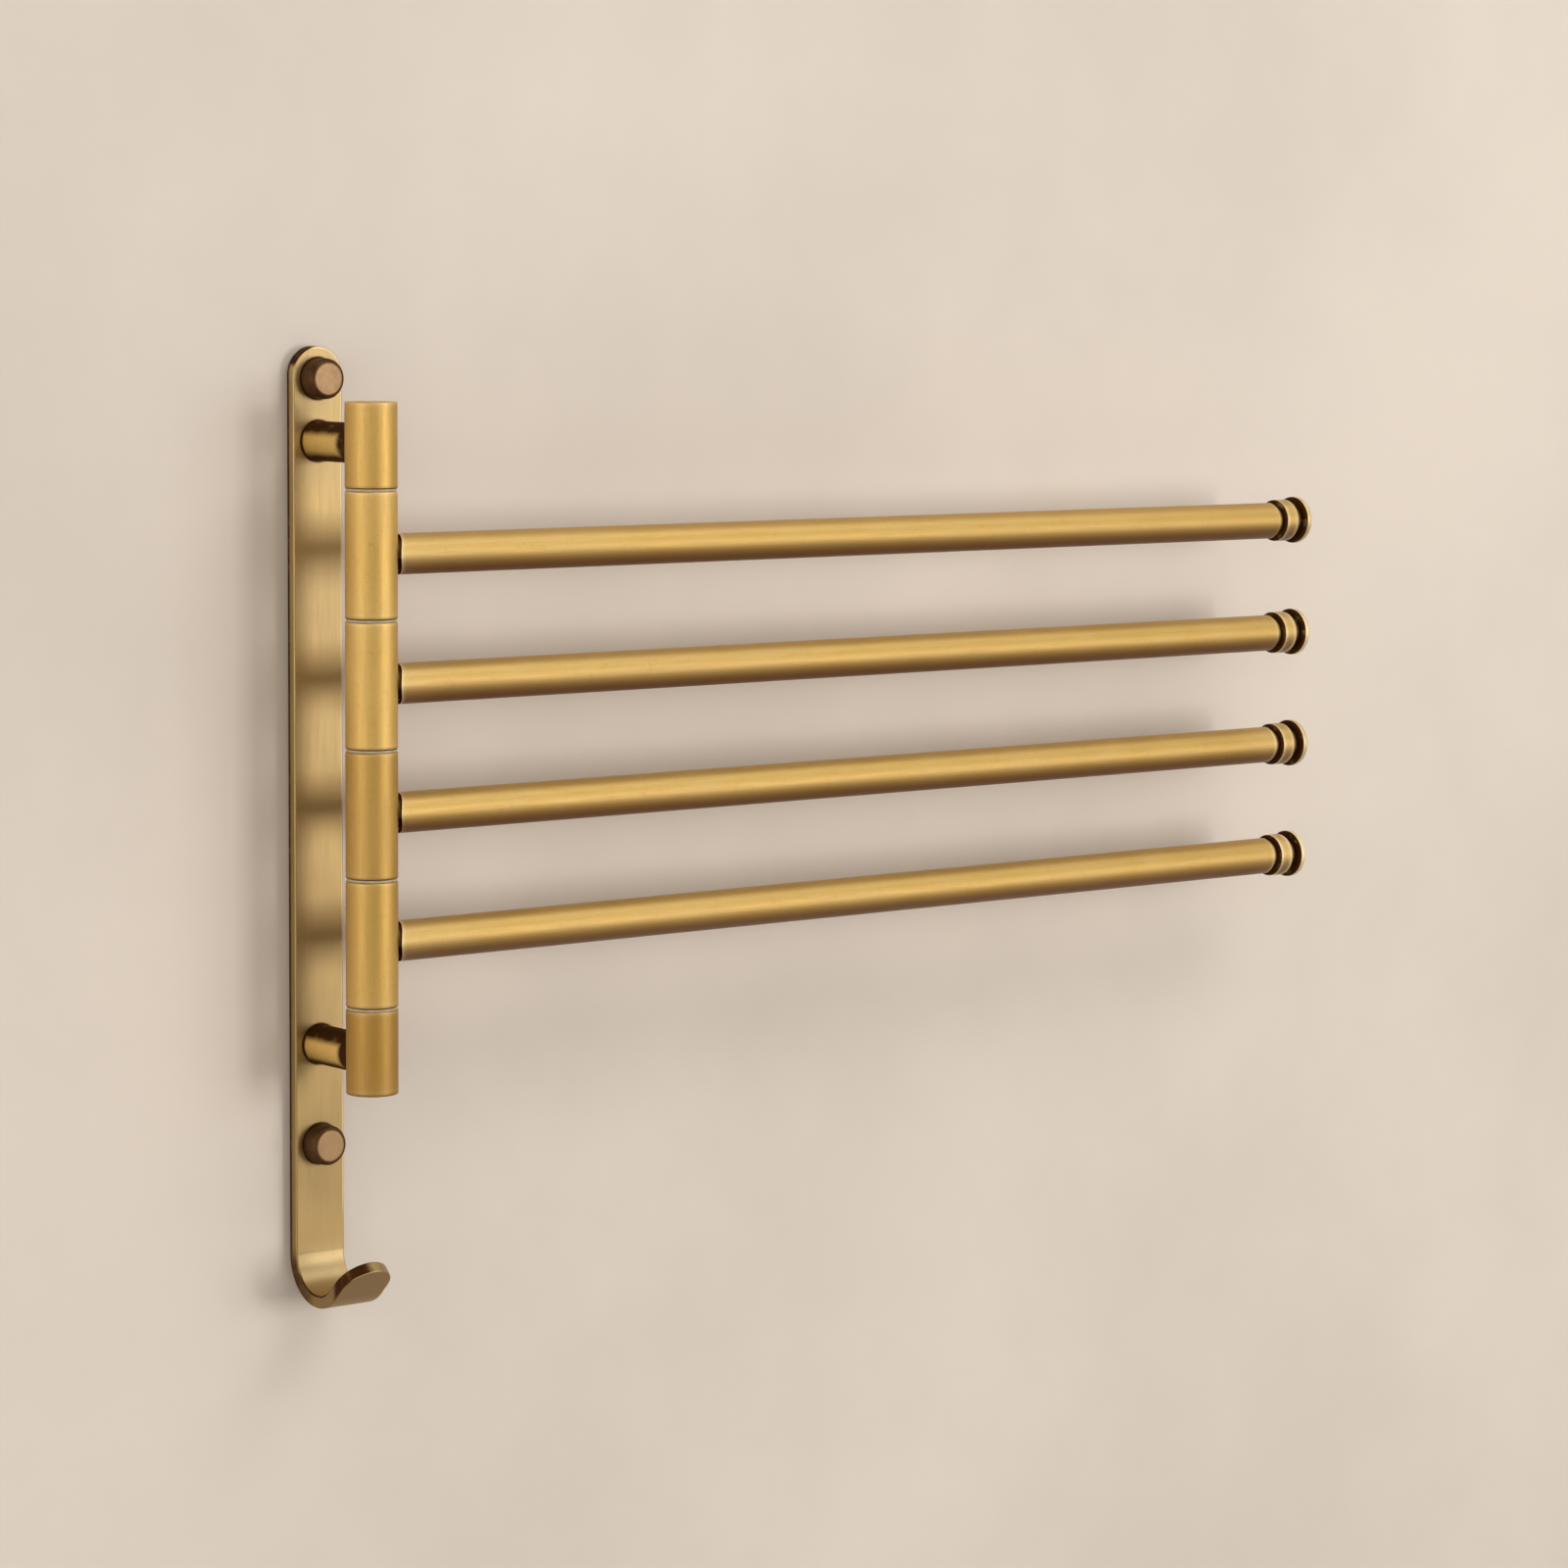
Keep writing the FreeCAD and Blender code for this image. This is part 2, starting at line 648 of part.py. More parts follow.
def make_bar_end_cap(number):
    """Turned end cap: groove, bead, groove and crowned rim."""
    name = f"bar_end_cap_{number}"
    body = new_body(name)
    plug = "Sizes.bar_diameter / 2 - Sizes.bar_wall - Sizes.plug_clearance"
    steps = ["Sizes.bar_end"]
    for part in ("first_groove", "bead", "second_groove", "rim"):
        steps.append(f"{steps[-1]} + Sizes.{part}_length")
    groove_start, bead_start, bead_end, rim_start, rim_end = steps
    crown = f"{rim_end} + Sizes.crown_rise"
    turned = add_turned(body, name, [
        ("0", f"{groove_start} - Sizes.cap_spigot_length"),
        (plug, f"{groove_start} - Sizes.cap_spigot_length"),
        (plug, groove_start),
        ("Sizes.first_groove_diameter / 2", groove_start),
        ("Sizes.first_groove_diameter / 2", bead_start),
        ("Sizes.bead_diameter / 2", bead_start),
        ("Sizes.bead_diameter / 2", bead_end),
        ("Sizes.second_groove_diameter / 2", bead_end),
        ("Sizes.second_groove_diameter / 2", rim_start),
        ("Sizes.rim_diameter / 2", rim_start),
        ("Sizes.rim_diameter / 2", rim_end),
        ("Sizes.crown_diameter / 2", rim_end),
        ("Sizes.crown_diameter / 2 - Sizes.crown_rise", crown),
        ("0", crown),
    ])
    doc.recompute()
    rounded = turned
    rounds = [("bead", bead_start, bead_end, "Sizes.bead_round"),
              ("rim", rim_start, rim_end, "Sizes.rim_round")]
    for part, start, end, round_radius in rounds:
        radius = amount(f"Sizes.{part}_diameter / 2")
        shoulders = circles_at(rounded, radius, amount(start))
        shoulders += circles_at(rounded, radius, amount(end))
        rounded = round_edges(body, f"{name}_{part}", rounded, shoulders, round_radius)
    stand_on_post(body, ALONG_ARM, arm_height(number))
    return body


# Build, check and export -------------------------------------------------------------------

def make_all():
    pieces = [make_backplate(), make_spindle()]
    for end in ENDS:
        pieces += [make_wall_screw(end), make_cap_seat(end), make_screw_cap(end)]
        pieces += [make_standoff(end), make_standoff_screw(end), make_boss(end)]
    for number in range(1, WASHER_COUNT + 1):
        pieces.append(make_washer(number))
    for number in range(1, ARM_COUNT + 1):
        pieces += [make_sleeve(number), make_bar_stud(number)]
        pieces += [make_bar_tube(number), make_bar_end_cap(number)]
    return pieces


def check_document():
    """Stop if any object failed to rebuild or holds a broken shape."""
    for item in doc.Objects:
        for flag in item.State:
            if flag in ("Invalid", "Error"):
                raise RuntimeError(f"{item.Label}: {flag}")
        if not item.isDerivedFrom("Part::Feature"):
            continue
        if item.Shape.isNull() or not item.Shape.isValid():
            raise RuntimeError(f"{item.Label}: broken shape")


def export(pieces):
    os.makedirs("parts", exist_ok=True)
    for piece in pieces:
        shape = piece.Shape
        if shape.isNull() or not shape.isValid() or len(shape.Solids) != 1:
            raise RuntimeError(f"{piece.Label}: not one valid solid")
        shape.exportStep(f"parts/{piece.Label}.step")
        print(f"{piece.Label}: {shape.Volume:.1f} mm3")


pieces = make_all()
doc.recompute()
check_document()
export(pieces)
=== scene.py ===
"""Looks of the wall-mounted swing arm towel bar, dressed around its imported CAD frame.

Row frame in metres: +Z up, the wall is the plane Y = 0, the room is on the -Y side.
"""

import math

import bmesh
import bpy
from mathutils import Euler, Matrix, Vector


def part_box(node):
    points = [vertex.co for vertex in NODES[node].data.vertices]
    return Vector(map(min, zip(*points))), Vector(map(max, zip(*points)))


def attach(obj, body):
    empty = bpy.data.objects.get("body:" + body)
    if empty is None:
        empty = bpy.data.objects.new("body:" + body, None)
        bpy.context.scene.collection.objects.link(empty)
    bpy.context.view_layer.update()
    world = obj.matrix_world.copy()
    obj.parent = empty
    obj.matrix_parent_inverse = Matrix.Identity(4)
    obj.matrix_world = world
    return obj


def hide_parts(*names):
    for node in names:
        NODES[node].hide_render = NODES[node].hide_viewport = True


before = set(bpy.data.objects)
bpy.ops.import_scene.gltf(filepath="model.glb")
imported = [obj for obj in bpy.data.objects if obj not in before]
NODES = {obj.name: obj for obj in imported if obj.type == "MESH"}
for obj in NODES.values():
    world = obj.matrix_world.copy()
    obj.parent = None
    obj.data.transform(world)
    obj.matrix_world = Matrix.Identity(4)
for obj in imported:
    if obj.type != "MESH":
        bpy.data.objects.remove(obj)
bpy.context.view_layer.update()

MM = 0.001
ARMS = (1, 2, 3, 4)
WASHERS = (1, 2, 3, 4, 5)
ENDS = ("upper", "lower")
RINGS_ROUND = 96
ON_AXIS = 1e-7             # a ring thinner than this is a single point


# Sizes read from the frame ---------------------------------------------------------

def middle(node):
    low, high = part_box(node)
    return (low + high) / 2


def span(node, axis):
    """Lowest and highest coordinate of a node along one axis."""
    low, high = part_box(node)
    return low[axis], high[axis]


X, Y, Z = range(3)
POST_AXIS_Y = middle("spindle")[Y]
POST_RADIUS = (span("sleeve_1", X)[1] - span("sleeve_1", X)[0]) / 2
BAR_RADIUS = (span("bar_tube_1", Z)[1] - span("bar_tube_1", Z)[0]) / 2
PLATE_FACE_Y = span("standoff_upper", Y)[1]

ALONG_X = Euler((0, math.pi / 2, 0)).to_matrix()
OUT_FROM_WALL = Euler((math.pi / 2, 0, 0)).to_matrix()
UPRIGHT = Matrix.Identity(3)


# Turned pieces -----------------------------------------------------------------------

EDGE_REACH = 0.7 * MM      # how far along the surface an edge or a groove is felt
RING_STEP = 12 * MM
ROUND_STEPS = 5


class Corner:
    """One corner of a turned profile: radius, distance along the axis and rounding."""

    def __init__(self, radius, along, rounding=0.0):
        self.point = Vector((radius, along))
        self.rounding = rounding


def rounded_corner(before, corner, after):
    """Points of one corner's arc, and whether the corner stands out from the metal."""
    to_before = before.point - corner.point
    to_after = after.point - corner.point
    outward = to_before.x * to_after.y - to_before.y * to_after.x < 0
    half_angle = to_before.angle(to_after) / 2
    if corner.rounding <= 0 or half_angle > math.radians(88):
        return [corner.point.copy()], outward
    room = 0.49 * min(to_before.length, to_after.length)
    reach = min(corner.rounding / math.tan(half_angle), room)
    radius = reach * math.tan(half_angle)
    centre_line = (to_before.normalized() + to_after.normalized()).normalized()
    centre = corner.point + centre_line * (radius / math.sin(half_angle))
    start = corner.point + to_before.normalized() * reach
    first = start - centre
    finish_arm = corner.point + to_after.normalized() * reach - centre
    sweep = first.angle_signed(finish_arm)
    points = []
    for step in range(ROUND_STEPS + 1):
        turned = Matrix.Rotation(-sweep * step / ROUND_STEPS, 2) @ first
        points.append(centre + turned)
    return points, outward


def profile_rings(corners):
    """Rings (radius, along, edge, groove) along the profile, close together at corners."""
    runs = []
    last = len(corners) - 1
    for index, corner in enumerate(corners):
        if index in (0, last):
            runs.append(([corner.point.copy()], True))
        else:
            runs.append(rounded_corner(corners[index - 1], corner, corners[index + 1]))
    rings = []
    for index, (points, outward) in enumerate(runs):
        mark = (1.0, 0.0) if outward else (0.0, 1.0)
        rings += [(point, *mark) for point in points]
        if index == last:
            break
        start, end = points[-1], runs[index + 1][0][0]
        next_mark = (1.0, 0.0) if runs[index + 1][1] else (0.0, 1.0)
        rings += run_between(start, end, mark, next_mark)
    return rings


def run_between(start, end, mark, next_mark):
    """Rings along a straight stretch; the marks of its two ends fade towards its middle."""
    length = (end - start).length
    if length < EDGE_REACH / 2:
        return []
    stops = {EDGE_REACH, length - EDGE_REACH, EDGE_REACH * 2.5, length - EDGE_REACH * 2.5}
    count = int(length / RING_STEP)
    stops |= {length * (step + 1) / (count + 1) for step in range(count)}
    rings = []
    for stop in sorted(s for s in stops if 0.02 * MM < s < length - 0.02 * MM):
        near = math.exp(-stop / EDGE_REACH)
        far = math.exp(-(length - stop) / EDGE_REACH)
        edge = min(1.0, mark[0] * near + next_mark[0] * far)
        groove = min(1.0, mark[1] * near + next_mark[1] * far)
        rings.append((start.lerp(end, stop / length), edge, groove))
    return rings


def turned_piece(name, corners, centre, turn, age=0.0):
    """A revolved mesh about its own Z axis, with edge and groove masks on its rings."""
    mesh = bpy.data.meshes.new(name)
    build = bmesh.new()
    edge_layer = build.verts.layers.float.new("edge")
    groove_layer = build.verts.layers.float.new("groove")
    age_layer = build.verts.layers.float.new("age")
    angles = [2 * math.pi * step / RINGS_ROUND for step in range(RINGS_ROUND)]
    loops = []
    for point, edge, groove in profile_rings(corners):
        radius, along = point
        if radius < ON_AXIS:
            loops.append([build.verts.new((0, 0, along))])
        else:
            loops.append([
                build.verts.new((radius * math.cos(angle), radius * math.sin(angle), along))
                for angle in angles
            ])
        for vertex in loops[-1]:
            vertex[edge_layer] = edge
            vertex[groove_layer] = groove
            vertex[age_layer] = age
    pairs = list(zip(loops, loops[1:]))
    if len(loops[0]) > 1 and len(loops[-1]) > 1:
        pairs.append((loops[-1], loops[0]))
    for lower, upper in pairs:
        for step in range(RINGS_ROUND):
            following = (step + 1) % RINGS_ROUND
            if len(lower) == 1 and len(upper) == 1:
                continue
            if len(lower) == 1:
                build.faces.new((lower[0], upper[following], upper[step]))
            elif len(upper) == 1:
                build.faces.new((lower[step], lower[following], upper[0]))
            else:
                build.faces.new((lower[step], lower[following], upper[following], upper[step]))
    bmesh.ops.recalc_face_normals(build, faces=build.faces)
    for face in build.faces:
        face.smooth = True
    build.to_mesh(mesh)
    build.free()
    mesh.set_sharp_from_angle(angle=math.radians(40))
    piece = bpy.data.objects.new(name, mesh)
    bpy.context.scene.collection.objects.link(piece)
    piece.matrix_world = Matrix.Translation(centre) @ turn.to_4x4()
    return piece


def dress(piece, body, node, material):
    """Let a finer piece stand for a CAD node."""
    piece.data.materials.append(material)
    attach(piece, body)
    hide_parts(node)


# Node helpers -------------------------------------------------------------------------

class Nodes:
    """Small helper that adds and links shader nodes."""

    def __init__(self, material):
        material.use_nodes = True
        self.tree = material.node_tree
        self.tree.nodes.clear()

    def add(self, kind, inputs=None, **settings):
        node = self.tree.nodes.new(kind)
        for key, setting in settings.items():
            setattr(node, key, setting)
        for key, source in (inputs or {}).items():
            self.feed(node, key, source)
        return node

    def feed(self, node, key, source):
        if isinstance(source, bpy.types.NodeSocket):
            self.tree.links.new(source, node.inputs[key])
        else:
            node.inputs[key].default_value = source

    def maths(self, operation, first, second=0.0, clamp=False):
        node = self.add("ShaderNodeMath", {0: first, 1: second}, operation=operation)
        node.use_clamp = clamp
        return node.outputs[0]

    def blend(self, factor, first, second):
        """Mix two colours; factor may be a socket or a number."""
        node = self.add("ShaderNodeMix", data_type="RGBA")
        self.feed(node, 0, factor)
        self.feed(node, 6, first)
        self.feed(node, 7, second)
        return node.outputs[2]

    def noise(self, vector, scale, detail=4.0, roughness=0.55):
        node = self.add("ShaderNodeTexNoise", {"Vector": vector, "Scale": scale,
                        "Detail": detail, "Roughness": roughness})
        return node.outputs["Fac"]

    def length(self, first, second):
        """Length of the vector (first, second)."""
        squares = self.maths("ADD", self.maths("MULTIPLY", first, first),
                             self.maths("MULTIPLY", second, second))
        return self.maths("SQRT", squares)

    def remap(self, source, low, high, new_low=0.0, new_high=1.0):
        node = self.add("ShaderNodeMapRange", {"Value": source, "From Min": low,
                        "From Max": high, "To Min": new_low, "To Max": new_high})
        node.interpolation_type = "SMOOTHSTEP"
        return node.outputs[0]

    def stretched(self, vector, scale):
        node = self.add("ShaderNodeMapping", {"Vector": vector, "Scale": scale})
        return node.outputs[0]


def new_material(name):
    return bpy.data.materials.new(name)


# Materials ----------------------------------------------------------------------------

BRASS_LIGHT = (0.78, 0.530, 0.155, 1.0)
BRASS = (0.71, 0.455, 0.110, 1.0)
BRASS_DEEP = (0.50, 0.280, 0.035, 1.0)
# The bars' brass is the post's brass made darker: painted shade.
BAR_LIGHT = (0.64, 0.435, 0.135, 1.0)
BAR = (0.58, 0.375, 0.095, 1.0)
# Aged tone for the older segments, also used as painted shade on upward faces.
AGED_AND_SHADED = (0.40, 0.205, 0.014, 1.0)
# Deep brown for downward faces: patina and painted shade.
UNDERSIDE_PATINA_AND_SHADE = (0.17, 0.065, 0.006, 1.0)
# The plate's brass is the post's brass made much darker: painted shade.
PLATE_LIGHT = (0.50, 0.360, 0.155, 1.0)
PLATE = (0.45, 0.315, 0.120, 1.0)
PLATE_SHADED = (0.37, 0.250, 0.088, 1.0)
# Near-black brown for patina and for painted shade.
PATINA_AND_SHADE = (0.070, 0.025, 0.006, 1.0)
# Pale rubbed brass, also used as painted highlight.
WORN_AND_HIGHLIGHT = (0.92, 0.78, 0.50, 1.0)
# The standoffs' brass is made lighter than the post's: painted light.
STANDOFF_LIGHT = (0.88, 0.62, 0.20, 1.0)
BRONZE = (0.31, 0.180, 0.072, 1.0)
BRONZE_LIGHT = (0.37, 0.225, 0.100, 1.0)
BRONZE_DEEP = (0.22, 0.110, 0.040, 1.0)


class Surface:
    """The shared start of a metal: where the point is, and three sizes of noise there."""

    def __init__(self, name, grain, back_shade_amount=1.0):
        self.material = new_material(name)
        self.n = n = Nodes(self.material)
        place = n.add("ShaderNodeTexCoord").outputs["Object"]
        vary = n.add("ShaderNodeObjectInfo").outputs["Random"]
        offset = n.add("ShaderNodeCombineXYZ", {0: vary, 1: n.maths("MULTIPLY", vary, 0.37)})
        shifted = n.add("ShaderNodeVectorMath", {0: place, 1: offset.outputs[0]}, operation="ADD")
        where = shifted.outputs[0]
        parts = n.add("ShaderNodeSeparateXYZ", {0: place}).outputs
        self.x, self.y, self.z = parts[0], parts[1], parts[2]
        facing = n.add("ShaderNodeNewGeometry").outputs["Normal"]
        aimed = n.add("ShaderNodeSeparateXYZ", {0: facing}).outputs
        self.right, self.inward, self.up = aimed[0], aimed[1], aimed[2]
        self.brushing = n.noise(n.stretched(where, grain), 1.0, 5.0, 0.6)
        self.fine = n.noise(where, 1600.0, 2.0)
        self.clouds = n.noise(where, 30.0, 3.0, 0.5)
        self.blotches = n.noise(where, 260.0, 3.0, 0.6)
        # Faces turned back along the piece's own axis are painted darker: painted shade. On a
        # bar's turned end they face the post, on a post segment they face down.
        own_normal = n.add("ShaderNodeTexCoord").outputs["Normal"]
        own_parts = n.add("ShaderNodeSeparateXYZ", {0: own_normal}).outputs
        backwards = n.maths("MULTIPLY", own_parts[2], -1.0)
        back_facing_shade = n.remap(backwards, 0.08, 0.40, 0.0, back_shade_amount)
        groove = n.add("ShaderNodeAttribute", attribute_name="groove").outputs["Fac"]
        # The groove mask here holds the profile's patina in its hollows together with this
        # painted shade.
        self.groove = n.maths("MAXIMUM", groove, back_facing_shade)
        self.edge = n.add("ShaderNodeAttribute", attribute_name="edge").outputs["Fac"]
        self.age = n.add("ShaderNodeAttribute", attribute_name="age").outputs["Fac"]


def standoff_shade(s):
    """Patina and painted shade where a standoff meets the plate and the post, and on its top and
    bottom.
    """
    n = s.n
    out = n.maths("MULTIPLY", s.y, -1.0)
    foot = n.remap(out, 5.4 * MM, 4.1 * MM)
    head = n.remap(out, 21.5 * MM, 25.0 * MM)
    # Top and bottom darkened by which way they face: painted shade and patina.
    above = n.remap(s.up, 0.20, 0.62)
    underside_patina_and_shade = n.remap(n.maths("MULTIPLY", s.up, -1.0), 0.42, 0.80)
    return n.maths("MAXIMUM", n.maths("MAXIMUM", above, underside_patina_and_shade), n.maths("MAXIMUM", foot, head))


def plate_shade(s):
    """Painted shade on the plate: round its fittings, along the wall, on its top-left corner and
    on the hook's left side.
    """
    n = s.n
    mask = 0.0
    # A thin painted contact shade round each fitting on the plate's face.
    for node in ("screw_cap_upper", "screw_cap_lower", "standoff_upper", "standoff_lower"):
        low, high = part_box(node)
        height = n.maths("SUBTRACT", s.z, (low.z + high.z) / 2)
        away = n.maths("SUBTRACT", n.length(s.x, height), (high.x - low.x) / 2)
        mask = n.maths("MAXIMUM", mask, n.remap(away, 0.9 * MM, 0.1 * MM))
    front = n.remap(s.y, PLATE_FACE_Y + 0.4 * MM, PLATE_FACE_Y + 0.1 * MM)
    mask = n.maths("MULTIPLY", mask, front)

    # The rear of the plate's sides, next to the wall, is painted dark: painted contact shade.
    at_wall = n.maths("MULTIPLY", n.remap(s.y, -2.0 * MM, -1.0 * MM, 0.0, 0.95),
                      n.remap(s.inward, 0.9, 0.5))
    mask = n.maths("MAXIMUM", mask, at_wall)
    # Faces turned up and to the left at the top are painted dark: painted shade.
    top_corner = n.maths("MULTIPLY", n.remap(s.up, 0.25, 0.45), n.remap(s.right, 0.0, -0.3))
    mask = n.maths("MAXIMUM", mask, top_corner)

    # The hook's left-facing side in the bend and on the lip is painted dark: painted shade.
    bend = n.maths("MULTIPLY", n.remap(s.z, -158 * MM, -166 * MM, 0.0, 0.8),
                   n.remap(s.y, -15 * MM, -8 * MM, 0.3, 1.0))
    lip = n.remap(s.y, -23 * MM, -27 * MM)
    left_side = n.remap(s.right, -0.5, -0.9)
    hook_side = n.maths("MULTIPLY", left_side, n.maths("MAXIMUM", bend, lip))
    return n.maths("MAXIMUM", mask, hook_side)


def plate_rim(s):
    """The rounded front edges along the plate's sides and round its top."""
    n = s.n
    half_width = span("backplate", X)[1]
    top_centre = span("backplate", Z)[1] - half_width
    above = n.maths("MAXIMUM", n.maths("SUBTRACT", s.z, top_centre), 0.0)
    out = n.length(s.x, above)
    rising = n.remap(out, half_width - 0.95 * MM, half_width - 0.45 * MM)
    falling = n.remap(out, half_width - 0.01 * MM, half_width - 0.08 * MM)
    return n.maths("MULTIPLY", rising, falling)


def plate_highlight(s):
    """Painted highlight on the right-hand and top edges, and inside the hook's bend."""
    n = s.n
    rim = n.maths("MULTIPLY", plate_rim(s), n.remap(s.x, -4 * MM, 0.0))
    throat = n.maths("MULTIPLY", n.remap(s.z, -156 * MM, -164 * MM, 0.0, 0.8),
                     n.remap(s.z, -173.5 * MM, -169 * MM))
    throat = n.maths("MULTIPLY", throat, n.remap(s.y, -9 * MM, -5 * MM))
    return n.maths("MAXIMUM", rim, n.maths("MULTIPLY", throat, n.remap(s.right, -0.5, -0.1)))


def plate_lower_shade(s):
    """The plate is painted darker towards the hook: painted shade."""
    return s.n.remap(s.z, 60 * MM, -130 * MM, 0.0, 0.9)


def brass_material(name, grain, facing_shade_amount=1.0, recess=None, rim=None, shade_fade=None, age_and_shade_tone=AGED_AND_SHADED,
                   tones=(BRASS, BRASS_LIGHT), wear_and_highlight_range=(0.15, 0.6), back_shade_amount=1.0,
                   roughness=(0.54, 0.64)):
    """Satin antique brass. grain is the stretch of the brushing in the piece's own axes."""
    s = Surface(name, grain, back_shade_amount)
    n = s.n
    colour = n.blend(n.remap(s.clouds, 0.3, 0.7), *tones)
    colour = n.blend(n.remap(s.blotches, 0.55, 0.8, 0.0, 0.30), colour, BRASS_DEEP)
    colour = n.blend(n.remap(s.brushing, 0.52, 0.8, 0.0, 0.22), colour, BRASS_DEEP)
    colour = n.blend(n.remap(s.fine, 0.5, 0.75, 0.0, 0.25), colour, BRASS_DEEP)
    # Older segments blend towards the aged tone; on the plate the blend is to a darker tone lower
    # down, painted shade.
    colour = n.blend(s.age if shade_fade is None else shade_fade(s), colour, age_and_shade_tone)
    # Upward faces are blended towards the aged tone by which way they face: painted shade.
    above = n.remap(s.up, 0.60, 1.0, 0.0, 0.5 * facing_shade_amount)
    colour = n.blend(above, colour, AGED_AND_SHADED)
    # Downward faces are darkened towards a deep brown by which way they face: patina and painted
    # shade.
    underside_patina_and_shade = n.remap(n.maths("MULTIPLY", s.up, -1.0), -0.30, 0.85, 0.0, facing_shade_amount)
    colour = n.blend(underside_patina_and_shade, colour, UNDERSIDE_PATINA_AND_SHADE)

    groove = s.groove if recess is None else recess(s)
    edge = s.edge if rim is None else rim(s)
    # One darkening for patina in the hollows and for the painted shade of the masks above.
    dirt_and_shade = n.maths("MULTIPLY", groove, n.remap(s.blotches, 0.2, 0.6, 0.8, 1.1), clamp=True)
    colour = n.blend(dirt_and_shade, colour, PATINA_AND_SHADE)
    # Paler edges: rubbed wear, made into painted highlight on the turned ends and on the plate's
    # right-hand edges.
    wear_and_highlight = n.maths("MULTIPLY", edge, n.remap(s.clouds, 0.36, 0.62, *wear_and_highlight_range), clamp=True)
    wear_and_highlight = n.maths("MULTIPLY", wear_and_highlight, n.maths("SUBTRACT", 1.0, dirt_and_shade))
    colour = n.blend(wear_and_highlight, colour, WORN_AND_HIGHLIGHT)
    finish_metal(s, colour, dirt_and_shade, *roughness)
    return s.material


def bronze_material(name, grain):
    """The darker screw covers: bronze on the front, nearly black round the side from patina and
    painted shade.
    """
    s = Surface(name, grain)
    n = s.n
    low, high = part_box("screw_cap_upper")
    height = high.y - low.y
    colour = n.blend(n.remap(s.clouds, 0.3, 0.7), BRONZE, BRONZE_LIGHT)
    colour = n.blend(n.remap(s.blotches, 0.45, 0.75, 0.0, 0.45), colour, BRONZE_DEEP)
    # The side and rounded edge are darkened all round: patina and painted shade.
    side = n.remap(n.length(s.x, s.y), 4.5 * MM, 5.2 * MM)
    side = n.maths("MAXIMUM", side, n.remap(s.z, height - 0.1 * MM, height - 0.5 * MM))
    dirt_and_shade = n.maths("MULTIPLY", side, n.remap(s.blotches, 0.2, 0.7, 0.95, 0.75), clamp=True)
    colour = n.blend(dirt_and_shade, colour, PATINA_AND_SHADE)
    finish_metal(s, colour, dirt_and_shade, 0.50, 0.62)
    return s.material


def finish_metal(s, colour, dirt_and_shade, smoothest, roughest):
    """Roughness, brushed bump and a thin worn lacquer over the coloured metal."""
    n = s.n
    rough = n.remap(s.brushing, 0.2, 0.8, smoothest, roughest)
    rough = n.maths("ADD", rough, n.remap(s.clouds, 0.3, 0.7, -0.03, 0.05))
    rough = n.maths("ADD", rough, n.maths("MULTIPLY", dirt_and_shade, 0.15), clamp=True)
    height = n.maths("ADD", n.maths("MULTIPLY", s.brushing, 0.6),
                     n.maths("MULTIPLY", s.fine, 0.4))
    bump = n.add("ShaderNodeBump", {"Strength": 0.25, "Distance": 0.00002, "Height": height})
    lacquer = n.maths("MULTIPLY", n.maths("SUBTRACT", 1.0, dirt_and_shade), 0.5)
    shader = n.add("ShaderNodeBsdfPrincipled", {
        "Base Color": colour, "Roughness": rough, "Metallic": 1.0, "Normal": bump.outputs[0],
        "Coat Weight": lacquer, "Coat Roughness": 0.45, "Coat IOR": 1.6})
    output = n.add("ShaderNodeOutputMaterial")
    n.feed(output, "Surface", shader.outputs[0])


def nylon_material():
    """Natural nylon with a faint machined ring texture, painted a dim tan: painted reflection of
    the brass round it.
    """
    material = new_material("nylon")
    n = Nodes(material)
    place = n.add("ShaderNodeTexCoord").outputs["Object"]
    clouds = n.noise(place, 260.0, 3.0)
    rings = n.noise(n.stretched(place, (80, 80, 9000)), 1.0, 3.0)
    colour = n.blend(n.remap(clouds, 0.3, 0.7), (0.38, 0.31, 0.20, 1), (0.48, 0.39, 0.27, 1))
    bump = n.add("ShaderNodeBump", {"Strength": 0.2, "Distance": 0.00002, "Height": rings})
    shader = n.add("ShaderNodeBsdfPrincipled", {
        "Base Color": colour, "Roughness": n.remap(rings, 0.3, 0.7, 0.42, 0.55),
        "Subsurface Weight": 0.3, "Subsurface Scale": 0.002, "Normal": bump.outputs[0]})
    output = n.add("ShaderNodeOutputMaterial")
    n.feed(output, "Surface", shader.outputs[0])
    return material


def steel_material():
    """Plain zinc-plated steel for the screws, the seats and the spindle."""
    material = new_material("zinc_steel")
    n = Nodes(material)
    place = n.add("ShaderNodeTexCoord").outputs["Object"]
    spangle = n.noise(place, 520.0, 4.0, 0.6)
    clouds = n.noise(place, 90.0, 3.0)
    colour = n.blend(n.remap(spangle, 0.35, 0.7), (0.50, 0.50, 0.47, 1), (0.68, 0.68, 0.64, 1))
    rough = n.remap(clouds, 0.3, 0.7, 0.26, 0.42)
    bump = n.add("ShaderNodeBump", {"Strength": 0.2, "Distance": 0.00002, "Height": spangle})
    shader = n.add("ShaderNodeBsdfPrincipled", {
        "Base Color": colour, "Roughness": rough, "Metallic": 1.0, "Normal": bump.outputs[0]})
    output = n.add("ShaderNodeOutputMaterial")
    n.feed(output, "Surface", shader.outputs[0])
    return material


LENGTHWISE = (2600, 2600, 70)
ROUNDWISE = (500, 500, 3000)
BAR_TONES = (BAR, BAR_LIGHT)
